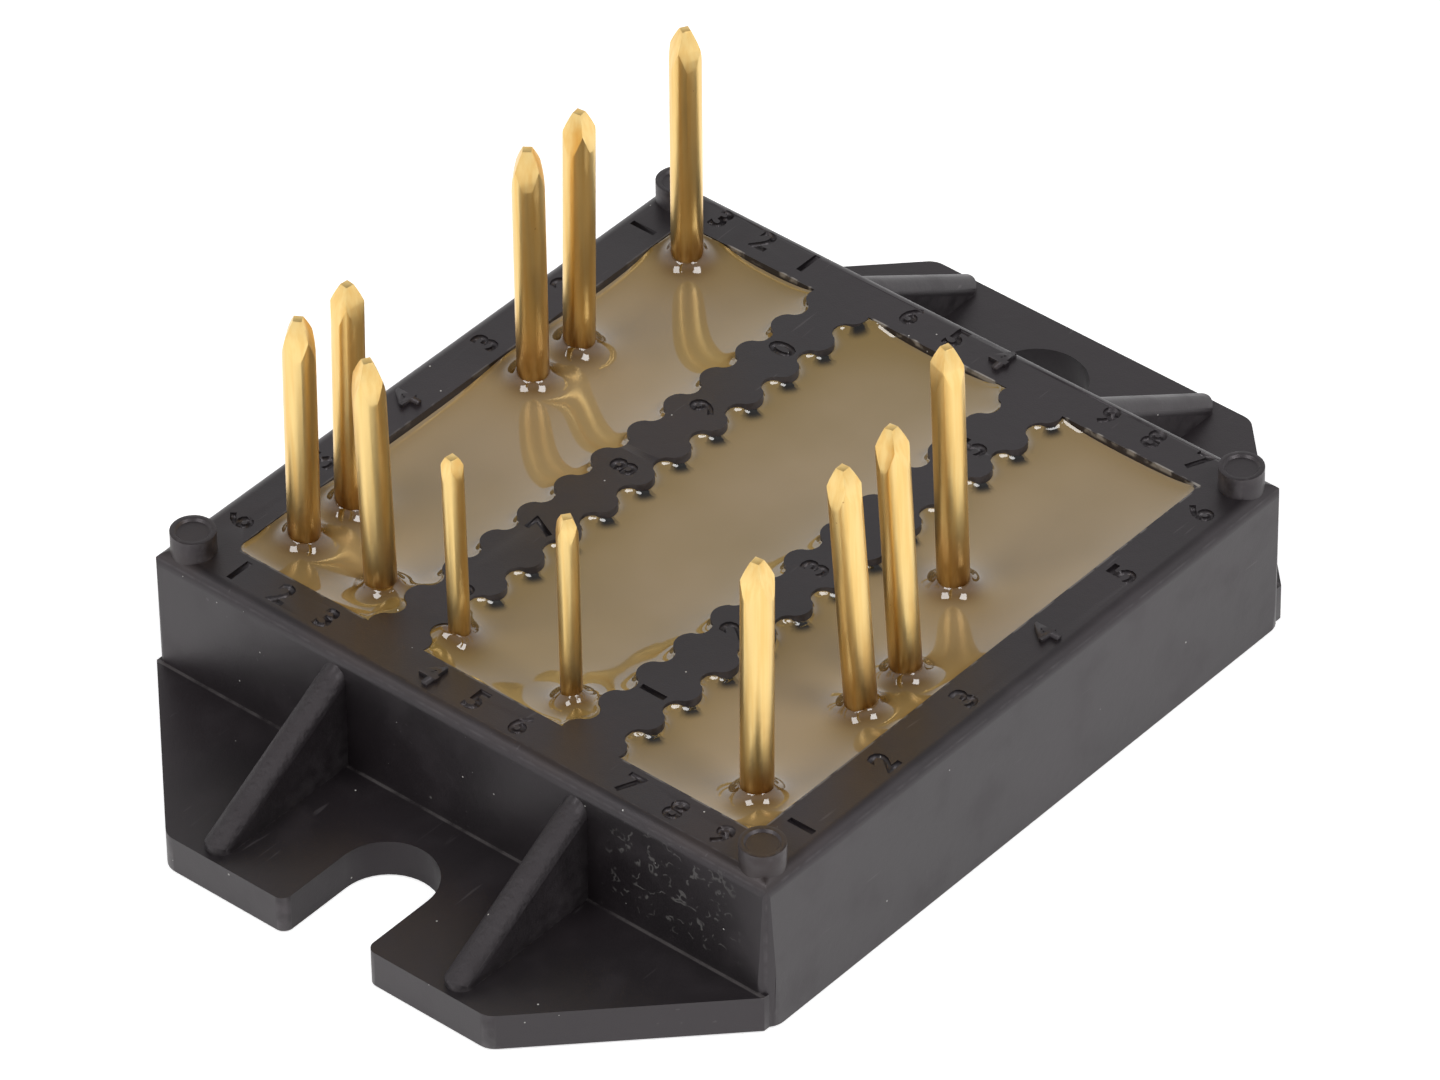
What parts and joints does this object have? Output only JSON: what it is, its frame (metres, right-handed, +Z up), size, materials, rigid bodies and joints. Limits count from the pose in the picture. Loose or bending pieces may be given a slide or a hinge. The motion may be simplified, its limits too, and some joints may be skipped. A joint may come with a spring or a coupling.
{
  "type": "igbt module",
  "caption": "Power transistor module: moulded frame with screw flanges, copper-clad ceramic base, chips sealed in gel, and solder pins standing out of its top.",
  "frame": {"origin": "middle of the underside, on the copper face that rests on the heat sink", "axes": "+Z up through the pins; +X from the flange with the open slot to the flange with the round hole; +Y towards the side with the five-pin row"},
  "size_m": [0.053, 0.036, 0.0212],
  "materials": {
    "frame_plastic": "matte, dusty, finely grained",
    "base_copper": null,
    "ceramic": "matte white alumina",
    "bead_silicone": "satin grey silicone",
    "track_copper": null,
    "solder": null,
    "chip": null,
    "wire_aluminium": "bright drawn wire",
    "thermistor_body": "satin dark body",
    "pin_gold": "gold-flashed copper, lightly worn",
    "gel": "glossy milky silicone gel"
  },
  "bodies": {
    "root": {"housing": "frame_plastic", "base_copper": "base_copper", "ceramic_plate": "ceramic", "sealing_bead": "bead_silicone", "track_phase": "track_copper", "track_plus": "track_copper", "track_minus": "track_copper", "track_gate_high": "track_copper", "track_gate_low": "track_copper", "track_sense_high": "track_copper", "track_sense_low": "track_copper", "track_ntc_1": "track_copper", "track_ntc_2": "track_copper", "solder_igbt_high": "solder", "solder_diode_high": "solder", "solder_igbt_low": "solder", "solder_diode_low": "solder", "igbt_high": "chip", "diode_high": "chip", "igbt_low": "chip", "diode_low": "chip", "wires_igbt_high": "wire_aluminium", "wires_diode_high": "wire_aluminium", "wires_igbt_low": "wire_aluminium", "wires_diode_low": "wire_aluminium", "wires_gate": "wire_aluminium", "wires_sense": "wire_aluminium", "thermistor": "thermistor_body", "pin_phase_1": "pin_gold", "pin_phase_2": "pin_gold", "pin_plus_1": "pin_gold", "pin_plus_2": "pin_gold", "pin_gate_high": "pin_gold", "pin_sense_high": "pin_gold", "pin_ntc_1": "pin_gold", "pin_ntc_2": "pin_gold", "pin_sense_low": "pin_gold", "pin_minus_1": "pin_gold", "pin_minus_2": "pin_gold", "pin_gate_low": "pin_gold", "foot_solder_phase_1": "solder", "foot_solder_phase_2": "solder", "foot_solder_plus_1": "solder", "foot_solder_plus_2": "solder", "foot_solder_gate_high": "solder", "foot_solder_sense_high": "solder", "foot_solder_ntc_1": "solder", "foot_solder_ntc_2": "solder", "foot_solder_sense_low": "solder", "foot_solder_minus_1": "solder", "foot_solder_minus_2": "solder", "foot_solder_gate_low": "solder", "gel": "gel"}
  },
  "joints": []
}
